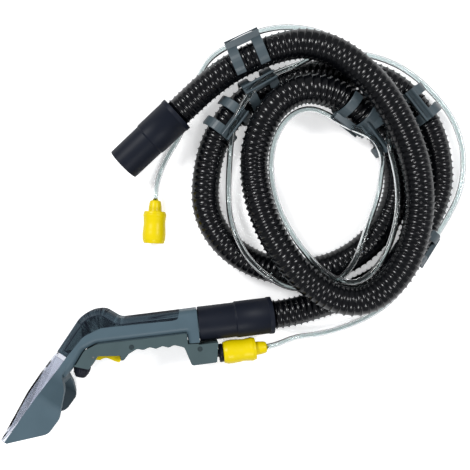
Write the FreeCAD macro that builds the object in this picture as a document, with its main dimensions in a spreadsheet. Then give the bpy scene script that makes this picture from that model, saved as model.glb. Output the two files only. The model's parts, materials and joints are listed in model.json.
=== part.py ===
import FreeCAD, Part
import math
import os
import re
import Sketcher
from FreeCAD import Placement, Rotation, Vector

# Hose set of a spray-extraction cleaner: an upholstery hand tool on a loosely looped suction hose,
# with a clear liquid tube clipped beside the hose and two quick couplers. It lies on a floor at Z = 0.
# Millimetres. The origin is under the middle of the hand tool.

document = FreeCAD.newDocument("spray_extraction_set")
sheet = document.addObject("Spreadsheet::Sheet", "sizes")

SIZES = {
    # suction hose
    "hose_crest": 20.0,
    "hose_root": 18.0,
    "hose_bore": 14.0,
    "hose_ribs": 60,
    "hose_stub": 40.0,
    # liquid tube and its clips
    "tube_radius": 4.0,
    "tube_ride": 28.2,
    "clip_length": 46.0,
    "clip_arm_width": 13.0,
    "clip_arm_inside": 22.2,
    "clip_arm_outside": 25.0,
    "clip_bar_width": 12.0,
    "clip_bar_top": 32.0,
    "clip_channel": 4.5,
    # cuffs on both ends of the hose
    "cuff_length": 99.0,
    "cuff_collar": 6.0,
    "cuff_step": 48.0,
    "cuff_narrow": 22.8,
    "cuff_wide": 24.0,
    "cuff_rim": 24.7,
    "cuff_bore": 19.0,
    "cuff_entry": 20.4,
    "cuff_cavity": 21.05,
    "cuff_lip": 3.0,
    "insert_radius": 21.0,
    "insert_length": 40.0,
    "insert_bore": 18.1,
    # quick couplers
    "coupler_length": 43.0,
    "coupler_neck_end": 58.0,
    "coupler_neck": 8.0,
    "coupler_ring": 15.6,
    "coupler_waist": 14.8,
    "coupler_core": 11.0,
    "coupler_guide": 11.1,
    "coupler_flange": 13.5,
    "coupler_chamber": 13.6,
    "coupler_socket": 4.6,
    "coupler_socket_depth": 18.0,
    "coupler_seat": 4.9,
    "coupler_way": 2.5,
    # hand tool
    "grip_half_width": 20.0,
    "belly_half_width": 14.0,
    "cover_half_width": 18.5,
    "pad_thickness": 3.0,
    "duct_radius": 11.5,
    "spigot_radius": 18.95,
    "spigot_length": 46.0,
    "spigot_bore": 15.0,
    "mouth_half_width": 55.0,
    "neck_half_width": 20.0,
    "head_length": 110.0,
    "head_depth": 40.0,
    "head_wall": 3.0,
    "window_wall": 2.0,
    "window_start": 4.0,
    "trigger_half_width": 7.0,
    "pin_radius": 1.5,
    "pipe_radius": 2.4,
    "nut_radius": 10.5,
    "nut_length": 14.0,
    # attitude of the hand tool on the floor, degrees and millimetres
    "tool_x": 166.1,
    "tool_y": 59.3,
    "tool_z": 25.4,
    "tool_tilt": 5.9,
    "tool_lean_towards": 20.6,
    "spigot_angle": 6.2,
    "duct_angle": 3.0,
}
for row, (alias, value) in enumerate(SIZES.items(), 1):
    sheet.set("A%d" % row, alias)
    sheet.set("B%d" % row, str(value))
    sheet.setAlias("B%d" % row, alias)
document.recompute()


def amount(text):
    """Number that a short sum of sheet names and plain numbers stands for."""
    total = 0.0
    for sign, word in re.findall(r"([+-]?)\s*([A-Za-z_]\w*|\d+\.?\d*)", text):
        value = SIZES[word] if word in SIZES else float(word)
        total += -value if sign == "-" else value
    return total


def formula(text):
    """The same sum as an expression on the sheet."""
    return re.sub(r"([A-Za-z_]\w*)", r"sizes.\1", text)


def new_body(label):
    body = document.addObject("PartDesign::Body", label)
    body.Label = label
    return body


def plane_of(body, role):
    return next(feature for feature in body.Origin.OriginFeatures if feature.Role == role)


def new_sketch(body, name, role="XY_Plane", offset=None):
    sketch = body.newObject("Sketcher::SketchObject", name)
    sketch.AttachmentSupport = [(plane_of(body, role), "")]
    sketch.MapMode = "FlatFace"
    if offset is not None:
        sketch.AttachmentOffset = offset
    return sketch


def draw_corners(sketch, corners):
    """Closed outline through corners (x, y, rounding radius), with tangent arcs at the rounded ones."""
    count = len(corners)
    points = [Vector(x, y, 0) for x, y, _ in corners]
    stops = []
    for index, corner in enumerate(corners):
        here = points[index]
        back = (points[index - 1] - here).normalize()
        ahead = (points[(index + 1) % count] - here).normalize()
        radius = corner[2]
        if radius <= 0:
            stops.append((here, here, None))
            continue
        half = back.getAngle(ahead) / 2
        reach = radius / math.tan(half)
        bisector = (back + ahead).normalize()
        centre = here + bisector * (radius / math.sin(half))
        stops.append((here + back * reach, here + ahead * reach, centre - bisector * radius))
    geometry = []
    for index, (start, end, middle) in enumerate(stops):
        if middle is not None:
            geometry.append(Part.Arc(start, middle, end))
        following = stops[(index + 1) % count][0]
        geometry.append(Part.LineSegment(end, following))
    sketch.addGeometry(geometry, False)


def pad(body, sketch, length, symmetric=False, reverse=False):
    feature = body.newObject("PartDesign::Pad", sketch.Name + "_pad")
    feature.Profile = sketch
    feature.setExpression("Length", formula(length))
    feature.Midplane = symmetric
    feature.Reversed = reverse
    sketch.Visibility = False
    return feature


def pocket(body, sketch, length, symmetric=False, reverse=False):
    before = body.Shape.Volume
    feature = body.newObject("PartDesign::Pocket", sketch.Name + "_pocket")
    feature.Profile = sketch
    feature.setExpression("Length", formula(length))
    feature.Midplane = symmetric
    feature.Reversed = reverse
    document.recompute()
    if body.Shape.Volume >= before - 1.0:
        raise RuntimeError(sketch.Name + " cuts nothing")
    return feature


def bind(sketch, geometry, end, across, up):
    """Fixes one sketch vertex at sheet-driven distances from the sketch's origin."""
    for kind, text, axis in (("DistanceX", across, -2), ("DistanceY", up, -1)):
        value = amount(text)
        if abs(value) < 1e-9:
            sketch.addConstraint(Sketcher.Constraint("PointOnObject", geometry, end, axis))
            continue
        pair = (-1, 1, geometry, end) if value > 0 else (geometry, end, -1, 1)
        number = sketch.addConstraint(Sketcher.Constraint(kind, *pair, abs(value)))
        rule = formula(text) if value > 0 else "-(%s)" % formula(text)
        sketch.setExpression("Constraints[%d]" % number, rule)


def turned(label, profile):
    """Piece turned about its own X axis; the profile is a closed list of (distance along, radius)."""
    body = new_body(label)
    sketch = new_sketch(body, label + "_profile")
    count = len(profile)
    corners = [Vector(amount(x), amount(r), 0) for x, r in profile]
    for index in range(count):
        sketch.addGeometry(Part.LineSegment(corners[index], corners[(index + 1) % count]), False)
    for index in range(count):
        sketch.addConstraint(Sketcher.Constraint("Coincident", index, 2, (index + 1) % count, 1))
    for index, (x, r) in enumerate(profile):
        bind(sketch, index, 1, x, r)
    document.recompute()
    feature = body.newObject("PartDesign::Revolution", label + "_turn")
    feature.Profile = sketch
    feature.ReferenceAxis = (sketch, ["H_Axis"])
    feature.Angle = 360.0
    document.recompute()
    return body


def feature_of(label, shape, placement=None):
    piece = document.addObject("Part::Feature", label)
    piece.Label = label
    piece.Shape = shape
    if placement is not None:
        piece.Placement = placement
    return piece


def cut_of(label, base, tools):
    """Boolean cut of a base by one or more tools, as one document object."""
    tool = tools[0]
    if len(tools) > 1:
        tool = document.addObject("Part::MultiFuse", label + "_tools")
        tool.Shapes = tools
    piece = document.addObject("Part::Cut", label)
    piece.Label = label
    piece.Base = base
    piece.Tool = tool
    return piece


def cylinder_along(name, radius, start, end):
    """Cylinder between two points, its radius read from the sheet."""
    rod = document.addObject("Part::Cylinder", name)
    rod.setExpression("Radius", formula(radius))
    rod.Height = (end - start).Length
    rod.Placement = Placement(start, Rotation(Vector(0, 0, 1), end - start))
    return rod


SPRING_SECTIONS = 8


def spring(label, radius, wire, start, end, turns):
    """Compression spring about the X axis: square wire drawn through a few sections a turn."""
    steps = int(turns * SPRING_SECTIONS)
    rings = []
    for step in range(steps + 1):
        angle = 2 * math.pi * step / SPRING_SECTIONS
        along = start + (end - start) * step / steps
        outward = Vector(0, math.cos(angle), math.sin(angle))
        centre = Vector(along, 0, 0) + outward * radius
        across = Vector(wire / 2, 0, 0)
        out = outward * (wire / 2)
        corners = [centre + across + out, centre - across + out, centre - across - out,
            centre + across - out]
        rings.append(Part.makePolygon(corners + corners[:1]))
    return feature_of(label, Part.makeLoft(rings, True, True))


# The tool is modelled lying on its side: X along its length, Y across its height, Z across its width,
# measured from the middle of the tool cuff's hose end.
lean = math.radians(SIZES["tool_lean_towards"])
tool_attitude = Rotation(Vector(-math.sin(lean), math.cos(lean), 0), SIZES["tool_tilt"])
TOOL = Placement(Vector(SIZES["tool_x"], SIZES["tool_y"], SIZES["tool_z"]), tool_attitude)
SPIGOT = TOOL * Placement(Vector(0, 0, 0), Rotation(Vector(0, 0, 1), SIZES["spigot_angle"] + 180))


def on_spigot(distance, below=0.0):
    """Point on the spigot's axis in the tool's own frame, or on a parallel line below it."""
    turn = math.radians(SIZES["spigot_angle"])
    return Vector(-distance * math.cos(turn) + below * math.sin(turn),
        -distance * math.sin(turn) - below * math.cos(turn), 0)


# The head's front plane: its top corner, the way down to the mouth, and the way out of the plane.
HEAD_TOP = Vector(-266.0, -49.5, 0)
HEAD_DOWN = Vector(-0.568, -0.823, 0).normalize()
HEAD_OUT = Vector(HEAD_DOWN.y, -HEAD_DOWN.x, 0)
HEAD_FLAT = Placement(HEAD_TOP, Rotation(HEAD_DOWN, Vector(0, 0, 1), HEAD_OUT, "XYZ"))


def head_point(down, out):
    return HEAD_TOP + HEAD_DOWN * down + HEAD_OUT * out


def flare(inset):
    """Plan of the head, seen square to its front plane: a neck that flares out to the full mouth."""
    neck = SIZES["neck_half_width"] - inset
    mouth = SIZES["mouth_half_width"] - inset
    end = SIZES["head_length"]
    half = [(4.0, neck, 0), (20.0, neck, 26), (47.0 + inset, mouth, 16), (end, mouth, 0)]
    return [(s, w, r) for s, w, r in half] + [(s, -w, r) for s, w, r in reversed(half)]


# Side view of the grip, elbow and neck, clockwise from the collar's top.
GRIP_OUTLINE = [
    (-101.7, 10.5, 0), (-199.5, -0.7, 15), (-219.0, 11.0, 18), (-243.3, 11.0, 34), (-277.5, -41.5, 0),
    (-266.0, -49.5, 0), (-278.0, -67.0, 0), (-268.0, -76.0, 3), (-254.0, -57.0, 4), (-244.0, -40.0, 8),
    (-228.5, -32.0, 14), (-113.7, -20.0, 2), (-111.6, -33.6, 0), (-97.1, -32.1, 0),
]
# The soft pad's lower edge, and a region above the grip that holds the rest of the pad.
PAD_REGION = [
    (-266.0, -49.5, 0), (-243.8, -22.1, 22), (-222.0, -12.0, 20), (-133.0, -4.0, 0), (-125.3, -2.1, 4),
    (-122.0, 20.0, 0), (-290.0, 30.0, 0), (-290.0, -32.8, 0),
]
PAD_CORE = [
    (-101.7, 7.4, 0), (-199.5, -3.8, 15), (-218.2, 8.0, 18), (-241.6, 8.0, 31), (-277.5, -45.6, 0),
    (-262.0, -49.5, 0), (-228.5, -32.0, 14), (-111.6, -33.6, 0),
]


def prism(name, corners, half_width):
    """Solid of a side-view outline, as wide either side of the middle plane."""
    body = new_body(name)
    sketch = new_sketch(body, name + "_outline")
    draw_corners(sketch, corners)
    pad(body, sketch, half_width + "+" + half_width, symmetric=True)
    document.recompute()
    return body


def rounded(body, name, radius, chosen):
    """Fillet on the body's edges that the test picks out."""
    edges = ["Edge%d" % (i + 1) for i, edge in enumerate(body.Shape.Edges) if chosen(edge)]
    base = body.Tip
    fillet = body.newObject("PartDesign::Fillet", name)
    fillet.Base = (base, edges)
    fillet.Radius = radius
    document.recompute()
    return fillet


def chamfered(body, name, size, chosen):
    """Chamfer on the body's edges that the test picks out."""
    edges = ["Edge%d" % (i + 1) for i, edge in enumerate(body.Shape.Edges) if chosen(edge)]
    base = body.Tip
    chamfer = body.newObject("PartDesign::Chamfer", name)
    chamfer.Base = (base, edges)
    chamfer.Size = size
    document.recompute()
    return chamfer


def lies_on_top(half_width):
    """Test for the long edges of a side wall, above the pad's lower edge."""
    def test(edge):
        box = edge.BoundBox
        flat = abs(abs(box.ZMin) - half_width) < 0.01 and abs(box.ZMax - box.ZMin) < 0.01
        middle = edge.valueAt((edge.FirstParameter + edge.LastParameter) / 2)
        low = -12 if middle.x > -240 else -46
        return flat and middle.y > low and middle.x < -101.8 and edge.Length > 0.5
    return test


def tool_blank():
    """Grip, elbow and neck as one solid, its upper long edges rounded for the hand."""
    blank = prism("grip_blank", GRIP_OUTLINE, "grip_half_width")
    rounded(blank, "grip_rounding", 8.0, lies_on_top(SIZES["grip_half_width"]))
    return blank


def grip_pad_piece(blank):
    """Soft pad: the upper skin of the grip, over a narrower core that the housing fills."""
    region = prism("pad_region", PAD_REGION, "grip_half_width")
    core = prism("pad_core", PAD_CORE, "grip_half_width-pad_thickness")
    chamfered(core, "core_edges", 3.0, lies_on_top(SIZES["grip_half_width"] - SIZES["pad_thickness"]))
    skin = document.addObject("Part::MultiCommon", "pad_skin")
    skin.Shapes = [blank, region]
    return cut_of("grip_pad", skin, [core])


def head_blank():
    """Flared head: a front plate with a wall round its sides, deep at the heel and open behind."""
    body = new_body("head_blank")
    plan = new_sketch(body, "head_plan", offset=HEAD_FLAT)
    draw_corners(plan, flare(0.0))
    pad(body, plan, "head_depth", reverse=True)
    document.recompute()
    inside = new_sketch(body, "head_inside",
        offset=HEAD_FLAT * Placement(Vector(0, 0, -SIZES["head_wall"]), Rotation()))
    hollow = [(26.0, -16.5, 0), (26.0, 16.5, 0), (50.0, 51.8, 14), (120.0, 51.8, 0), (120.0, -51.8, 0),
        (50.0, -51.8, 14)]
    draw_corners(inside, hollow)
    pocket(body, inside, "head_depth", reverse=False)
    # The walls' rear edge, the heel: cut away all that lies behind it.
    heel = new_sketch(body, "heel_line")
    behind = [(3.0, -6.0, 0), (20.0, -9.0, 6), (30.0, -22.5, 14), (44.0, -32.0, 10), (53.0, -37.5, 12),
              (75.0, -37.0, 14), (109.9, -3.2, 0), (125.0, -3.2, 0), (125.0, -60.0, 0), (3.0, -60.0, 0)]
    draw_corners(heel, [tuple(head_point(s, n))[:2] + (r,) for s, n, r in behind])
    pocket(body, heel, "mouth_half_width+mouth_half_width+20", symmetric=True)
    return body


def tool_body_piece(blank, pad_piece):
    """Light grey housing: grip and head in one moulding, with the suction duct through it."""
    belly = prism("duct_belly", [(-236.0, -28.0, 0), (-236.0, -33.0, 4), (-112.0, -26.0, 0),
        (-112.0, -14.0, 0)],
                  "belly_half_width")
    spigot = cylinder_along("spigot", "spigot_radius", on_spigot(104.0),
                            on_spigot(SIZES["cuff_length"] - SIZES["spigot_length"]))
    whole = document.addObject("Part::MultiFuse", "tool_whole")
    whole.Shapes = [cut_of("grip_core", blank, [pad_piece]), head_blank(), belly, spigot]
    bore = cylinder_along("spigot_way", "spigot_bore", on_spigot(112.0), on_spigot(20.0))
    slope = math.radians(SIZES["duct_angle"])
    along = Vector(-math.cos(slope), -math.sin(slope), 0)
    start = on_spigot(100.0)
    duct = cylinder_along("grip_way", "duct_radius", start, start + along * 142.0)
    neck_way = new_body("neck_way")
    section = new_sketch(neck_way, "neck_way_section")
    way = [(-36.0, 0.5, 0), (-36.0, 11.0, 5), (0.0, 11.0, 0), (0.0, 0.5, 0)]
    draw_corners(section, [tuple(head_point(s, n))[:2] + (r,) for s, n, r in way])
    pad(neck_way, section, "belly_half_width+belly_half_width", symmetric=True)
    clearance = prism("window_seat", [tuple(head_point(s, n))[:2] + (0,) for s, n in
                                      [(0.0, 0.0), (0.0, 30.0), (130.0, 30.0), (130.0, 0.0)]],
                                      "mouth_half_width+5")
    nut_room = cylinder_along("nut_room", "nut_radius+0.4", nozzle_point(0.1), nozzle_point(16.0))
    return cut_of("tool_body", whole, [bore, duct, neck_way, clearance, nut_room])


def tray(name, inset, height, roof_drop):
    """Solid on the head's plan whose roof falls from the neck to the mouth."""
    body = new_body(name)
    plan = new_sketch(body, name + "_plan")
    neck = SIZES["neck_half_width"] - inset
    mouth = SIZES["mouth_half_width"] - inset
    start = SIZES["window_start"] - (5.0 if roof_drop else 0.0)
    end = SIZES["head_length"] + (1.0 if roof_drop else 0.0)
    half = [(start, neck, 0), (20.0 - inset, neck, 26), (47.0, mouth, 16), (end, mouth, 0)]
    draw_corners(plan, half + [(s, -w, r) for s, w, r in reversed(half)])
    pad(body, plan, height)
    document.recompute()
    roof = new_sketch(body, name + "_roof", role="XZ_Plane")
    top = [(-10.0, 14.0), (25.0, 14.3), (110.0, 4.6), (130.0, 4.6)]
    draw_corners(roof, [(s, h - roof_drop, 30 if s == 25.0 else 0) for s, h in top] + [(130.0, 40.0, 0),
        (-10.0, 40.0, 0)])
    pocket(body, roof, "mouth_half_width+mouth_half_width+20", symmetric=True)
    return body


def window_piece():
    """Clear cover of the suction channel: a shallow tray, high at the neck and thin at the mouth."""
    shell = tray("window_shell", 0.3, "15", 0.0)
    channel = tray("window_channel", 0.3 + SIZES["window_wall"], "15", SIZES["window_wall"])
    return cut_of("suction_window", shell, [channel])


def lower_cover_piece():
    """Darker lower shell: finger waves, trigger guard and the rear block that holds the liquid inlet."""
    outline = [
        (-253.2, -57.8, 0), (-243.4, -40.8, 8), (-228.2, -32.8, 14), (-114.4, -20.8, 0), (-112.3, -34.4, 0),
        (-99.0, -34.0, 0), (-98.0, -35.4, 0), (-73.4, -32.8, 0), (-74.8, -58.3, 2), (-107.0, -62.0, 4),
        (-117.0, -38.5, 5), (-130.0, -35.2, 5), (-137.0, -38.4, 5), (-145.0, -36.2, 5), (-153.0, -39.6, 5),
        (-161.0, -37.4, 5), (-169.0, -40.8, 5), (-177.0, -39.2, 5), (-187.5, -45.5, 5),
        (-193.3, -53.0, 1.5),
        (-197.2, -54.0, 1), (-197.6, -47.6, 0), (-226.0, -47.6, 2), (-237.4, -64.2, 1), (-257.6, -59.6, 1),
    ]
    body = prism("lower_blank", outline, "cover_half_width")
    seat = new_sketch(body, "belly_seat")
    draw_corners(seat, [(-237.0, -20.0, 0), (-237.0, -34.0, 0), (-111.0, -26.8, 0), (-111.0, -14.0, 0)])
    pocket(body, seat, "belly_half_width+belly_half_width+1", symmetric=True)
    well = new_sketch(body, "valve_well")
    draw_corners(well, [(-227.0, -30.0, 0), (-201.5, -30.0, 0), (-201.5, -46.0, 0), (-227.0, -46.0, 0)])
    pocket(body, well, "17", symmetric=True)
    slot = new_sketch(body, "trigger_slot")
    draw_corners(slot, [(-237.0, -44.0, 0), (-214.0, -44.0, 0), (-214.0, -40.9, 0), (-197.6, -40.9, 0),
        (-197.6, -62.0, 0), (-224.0, -62.0, 0), (-237.0, -56.0, 0)])
    pocket(body, slot, "trigger_half_width+trigger_half_width+1", symmetric=True)
    for name, corners in (
        ("front_channel", [(-226.0, -34.0, 0), (-226.0, -42.0, 0), (-238.0, -44.8, 0),
        (-245.0, -59.0, 0), (-252.5, -57.5, 0),
                           (-245.0, -42.0, 0), (-238.0, -37.5, 0)]),
        ("rear_channel", [(-202.5, -33.4, 0), (-202.5, -41.0, 0), (-119.0, -34.4, 0), (-107.0, -54.0, 0),
        (-89.0, -52.2, 0),
                          (-89.0, -45.0, 0), (-100.0, -46.2, 0), (-112.0, -27.6, 0)]),
    ):
        channel = new_sketch(body, name)
        draw_corners(channel, corners)
        pocket(body, channel, "6", symmetric=True)
    holes = [
        cylinder_along("pin_hole", "pin_radius", Vector(*TRIGGER_PIVOT, -25), Vector(*TRIGGER_PIVOT, 25)),
        cylinder_along("inlet_hole", "5.1", on_spigot(60.0, COUPLER_BELOW), on_spigot(91.0, COUPLER_BELOW)),
        cylinder_along("jet_hole", "4.1", nozzle_point(20.0), nozzle_point(-9.0)),
    ]
    for name, (x, y) in COVER_SCREWS.items():
        hole = cylinder_along("hole_" + name, "1.6", Vector(x, y, 8.0), Vector(x, y, 30.0))
        head = cylinder_along("sink_" + name, "3.2", Vector(x, y, 17.0), Vector(x, y, 30.0))
        holes += [hole, head]
    return cut_of("lower_cover", body, holes)


TRIGGER_PIVOT = (-232.0, -49.3)
COUPLER_BELOW = 41.5
COUPLER_FRONT = 70.5
BLOCK_FACE = 74.0
COVER_SCREWS = {"rear": (-96.9, -40.8), "middle": (-184.0, -37.0)}
VALVE_AXIS = -214.0
NOZZLE_BASE = Vector(-247.6, -61.9, 0)
NOZZLE_WAY = Vector(-0.222, -0.975, 0).normalize()
NOZZLE = Placement(NOZZLE_BASE, Rotation(NOZZLE_WAY, Vector(), Vector(0, 0, 1), "XZY"))
COUPLED = Placement(on_spigot(COUPLER_FRONT, COUPLER_BELOW),
    Rotation(Vector(0, 0, 1), SIZES["spigot_angle"]))
INLET = Placement(on_spigot(BLOCK_FACE, COUPLER_BELOW), Rotation(Vector(0, 0, 1), SIZES["spigot_angle"]))


def nozzle_point(distance):
    return NOZZLE_BASE + NOZZLE_WAY * distance


def trigger_piece():
    """Lever that tips about a pin at its front and lifts the valve's stem."""
    outline = [
        (-235.4, -44.9, 4), (-201.0, -46.1, 1.5), (-198.6, -54.5, 1.5), (-200.0, -58.2, 1.5),
        (-206.5, -56.2, 6),
        (-218.0, -50.9, 10), (-225.0, -54.8, 2), (-235.4, -53.0, 3),
    ]
    body = prism("trigger_lever", outline, "trigger_half_width")
    hole = cylinder_along("trigger_hole", "pin_radius+0.05", Vector(*TRIGGER_PIVOT, -12),
        Vector(*TRIGGER_PIVOT, 12))
    return cut_of("trigger", body, [hole])


def valve_pieces():
    """Spray valve above the trigger: block, stem and return spring."""
    block = prism("valve_block", [(-224.0, -33.0, 1), (-204.0, -33.4, 1), (-204.0, -42.2, 1),
        (-224.0, -42.2, 1)], "8")
    ways = [
        cylinder_along("stem_way", "3", Vector(VALVE_AXIS, -50, 0), Vector(VALVE_AXIS, -34.6, 0)),
        cylinder_along("front_port", "pipe_radius+0.1", Vector(-230, -38, 0), Vector(-220, -38, 0)),
        cylinder_along("rear_port", "pipe_radius+0.1", Vector(-208, -37.5, 0), Vector(-198, -37.5, 0)),
    ]
    valve = cut_of("valve_body", block, ways)
    stem = turned("valve_stem", [("0", "0"), ("6.7", "0"), ("6.7", "2.2"), ("5.6", "2.95"), ("0", "2.95")])
    stem.Placement = Placement(Vector(VALVE_AXIS, -45.3, 0), Rotation(Vector(0, 0, 1), 90))
    coil = spring("valve_spring", 2.1, 0.7, 0.0, 3.15, 2)
    coil.Placement = Placement(Vector(VALVE_AXIS, -38.15, 0), Rotation(Vector(0, 0, 1), 90))
    return [valve, stem, coil]


def faceted_tube(label, points, radius, sides=8):
    """Cord or pipe on straight runs joined by tangent arcs, drawn through rings of a few sides."""
    stations = [(points[0], (points[1] - points[0]).normalize())]
    radii = []
    length = 0.0
    last = points[0]
    for back, here, ahead in zip(points, points[1:], points[2:]):
        before = here - back
        after = ahead - here
        turn = before.getAngle(after)
        reach = 0.45 * min(before.Length, after.Length)
        bend = reach / math.tan(turn / 2)
        radii.append(bend)
        start = here - before * (reach / before.Length)
        inward = (after * (1 / after.Length) - before * (1 / before.Length)).normalize()
        centre = here + inward * (bend / math.cos(turn / 2))
        axis = before.cross(after).normalize()
        chords = max(1, math.ceil(math.degrees(turn) / 16))
        for chord in range(chords + 1):
            swing = Rotation(axis, math.degrees(turn) * chord / chords)
            stations.append((centre + swing.multVec(start - centre),
                swing.multVec(before * (1 / before.Length))))
        length += (start - last).Length + bend * turn
        last = stations[-1][0]
    stations.append((points[-1], (points[-1] - points[-2]).normalize()))
    length += (points[-1] - last).Length
    rings = []
    side = Vector(0, 0, 1)
    if abs(stations[0][1].z) > 0.9:
        side = Vector(1, 0, 0)
    for point, way in stations:
        side = (side - way * side.dot(way)).normalize()
        other = way.cross(side)
        corners = [point + side * (radius * math.cos(a)) + other * (radius * math.sin(a))
                   for a in (2 * math.pi * (k + 0.5) / sides for k in range(sides))]
        rings.append(Part.makePolygon(corners + corners[:1]))
    piece = feature_of(label, Part.makeLoft(rings, True, True))
    section = sides * radius * radius * math.sin(2 * math.pi / sides) / 2
    print(label, "length", round(length, 1), "volume over section x length",
          round(piece.Shape.Volume / (section * length), 3), "least radius", round(min(radii), 1))
    print(label, "radii", [round(r) for r in radii])
    return piece


def coupler_pieces(prefix, placement):
    """Quick coupler: a sprung sleeve that slides back on a core with a tube neck."""
    sleeve = turned(prefix + "_sleeve", [
        ("0", "coupler_guide"), ("0", "coupler_ring"), ("9", "coupler_ring"), ("9", "coupler_waist"),
        ("34", "coupler_waist"), ("34", "coupler_ring"), ("coupler_length", "coupler_ring"),
        ("coupler_length", "coupler_chamber"), ("12", "coupler_chamber"), ("12", "coupler_guide")])
    core = turned(prefix + "_core", [
        ("0.5", "coupler_socket"), ("0.5", "coupler_core"), ("34", "coupler_core"),
        ("34", "coupler_flange"),
        ("coupler_length", "coupler_flange"), ("coupler_length", "coupler_neck"),
        ("coupler_neck_end", "coupler_neck"), ("coupler_neck_end", "coupler_way"),
        ("coupler_socket_depth+0.5", "coupler_way"), ("coupler_socket_depth+0.5", "coupler_seat"),
        ("coupler_socket_depth-0.8", "coupler_seat"), ("coupler_socket_depth-0.8", "coupler_socket")])
    seal = turned(prefix + "_seal", [("17.3", "3.2"), ("17.3", "4.85"), ("18.4", "4.85"), ("18.4", "3.2")])
    coil = spring(prefix + "_spring", 12.7, 1.2, 13.0, 33.2, 3.5)
    pieces = [sleeve, core, seal, coil]
    for piece in pieces:
        piece.Placement = placement
    return pieces


def cuff_pieces(prefix, placement):
    """Two-step cuff that turns on a bush glued to the hose's plain end."""
    cuff = turned(prefix + "_cuff", [
        ("0", "cuff_entry"), ("0", "cuff_rim"), ("cuff_collar", "cuff_rim"), ("cuff_collar", "cuff_wide"),
        ("cuff_step+1", "cuff_wide"), ("cuff_step+3", "cuff_narrow"), ("cuff_length", "cuff_narrow"),
        ("cuff_length", "cuff_bore"), ("cuff_lip+insert_length+0.6", "cuff_bore"),
        ("cuff_lip+insert_length+0.6", "cuff_cavity"), ("cuff_lip", "cuff_cavity"),
        ("cuff_lip", "cuff_entry")])
    bush = turned(prefix + "_bush", [
        ("cuff_lip+0.3", "insert_bore"), ("cuff_lip+0.3", "insert_radius"),
        ("cuff_lip+insert_length+0.3", "insert_radius"), ("cuff_lip+insert_length+0.3", "insert_bore")])
    for piece in (cuff, bush):
        piece.Placement = placement
    return [cuff, bush]


# Hose route. It leaves the tool cuff, runs under the loops, makes two and a half loose turns,
# each over the last, and comes back over the top to the machine cuff.
# Lead-in and lead-out are points on the floor plan with heights.
LEAD_IN = [
    (166.1, 59.3, 25.4), (190.8, 61.95, 22.9), (218.5, 69.3, 20.4), (248.5, 79.0, 20.0),
    (282.5, 91.3, 20.5),
    (318.5, 111.3, 22.5), (345.5, 138.3, 25.5), (366.5, 171.8, 25.5), (385.0, 210.8, 23.0),
]
# Each loop is four quarter turns between its outermost points: side, x, y, height there, height halfway on,
# and how full the next quarter is, where 1 is an ellipse and less is fuller.
LOOP_SIDES = [
    ("right", 393.0, 248.8, 20.0, 20.0, 1.0), ("top", 265.0, 388.3, 20.0, 20.0, 0.88),
    ("left", 73.5, 222.8, 20.0, 20.0, 0.97), ("bottom", 204.0, 114.3, 20.0, 24.0, 1.06),
    ("right", 339.0, 240.3, 20.0, 22.0, 1.08), ("top", 218.0, 356.8, 57.0, 54.0, 0.97),
    ("left", 140.0, 256.3, 25.0, 61.0, 1.12), ("bottom", 265.5, 78.8, 64.0, 67.5, 1.04),
    ("right", 354.5, 218.8, 60.0, 72.5, 1.22), ("top", 211.5, 411.8, 63.0, 60.0, 1.0),
]
LEAD_OUT = [
    (175.0, 408.8, 54.0), (141.5, 398.3, 48.5), (108.5, 382.8, 44.0), (78.0, 360.8, 40.0),
    (59.0, 343.8, 37.5),
    (40.5, 326.8, 36.0),
]
QUARTER_STEPS = 4


def quarter_turn(one, other):
    """Route points of a quarter turn, from one outermost point up to but not including the next."""
    side, x, y, height, halfway, fullness = one
    next_x, next_y, next_height = other[1:4]
    points = []
    for step in range(QUARTER_STEPS):
        part = step / QUARTER_STEPS
        near = math.cos(part * math.pi / 2) ** fullness
        far = math.sin(part * math.pi / 2) ** fullness
        if side in ("right", "left"):
            plan = (next_x + (x - next_x) * near, y + (next_y - y) * far)
        else:
            plan = (x + (next_x - x) * far, next_y + (y - next_y) * near)
        if part < 0.5:
            lift = height + (halfway - height) * 2 * part
        else:
            lift = halfway + (next_height - halfway) * (2 * part - 1)
        points.append(Vector(plan[0], plan[1], lift))
    return points


def hose_route():
    points = [Vector(*point) for point in LEAD_IN]
    for one, other in zip(LOOP_SIDES, LOOP_SIDES[1:]):
        points += quarter_turn(one, other)
    points.append(Vector(*LOOP_SIDES[-1][1:4]))
    return points + [Vector(*point) for point in LEAD_OUT]


def smooth_line(points, steps=12):
    """Points along the smooth curve that the route's points control, each with the length so far."""
    line = [(points[0], 0.0)]
    for index in range(1, len(points) - 1):
        start = points[0] if index == 1 else (points[index - 1] + points[index]) * 0.5
        end = points[-1] if index == len(points) - 2 else (points[index] + points[index + 1]) * 0.5
        for step in range(1, steps + 1):
            t = step / steps
            point = start * (1 - t) ** 2 + points[index] * (2 * t * (1 - t)) + end * t ** 2
            line.append((point, line[-1][1] + (point - line[-1][0]).Length))
    return line


HOSE_LINE = smooth_line(hose_route())
HOSE_LENGTH = HOSE_LINE[-1][1]


def hose_at(distance):
    """Point and direction of the hose's middle line at a distance from the tool cuff."""
    distance = min(max(distance, 0.0), HOSE_LENGTH)
    for (one, before), (other, after) in zip(HOSE_LINE, HOSE_LINE[1:]):
        if after >= distance:
            share = (distance - before) / (after - before)
            return one + (other - one) * share, (other - one).normalize()


def hose_frame(distance):
    """Frame beside the hose: its way, the loops' outward side and up."""
    point, way = hose_at(distance)
    outward = way.cross(Vector(0, 0, 1)).normalize()
    return point, way, outward, outward.cross(way).normalize()


def ring_at(point, way, radius):
    """Circle square to the way, its seam always on top."""
    up = Vector(0, 0, 1)
    across = (up - way * up.dot(way)).normalize()
    circle = Part.makeCircle(radius)
    circle.Placement = Placement(point, Rotation(across, way.cross(across), way, "XYZ"))
    return Part.Wire([circle])


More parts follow.
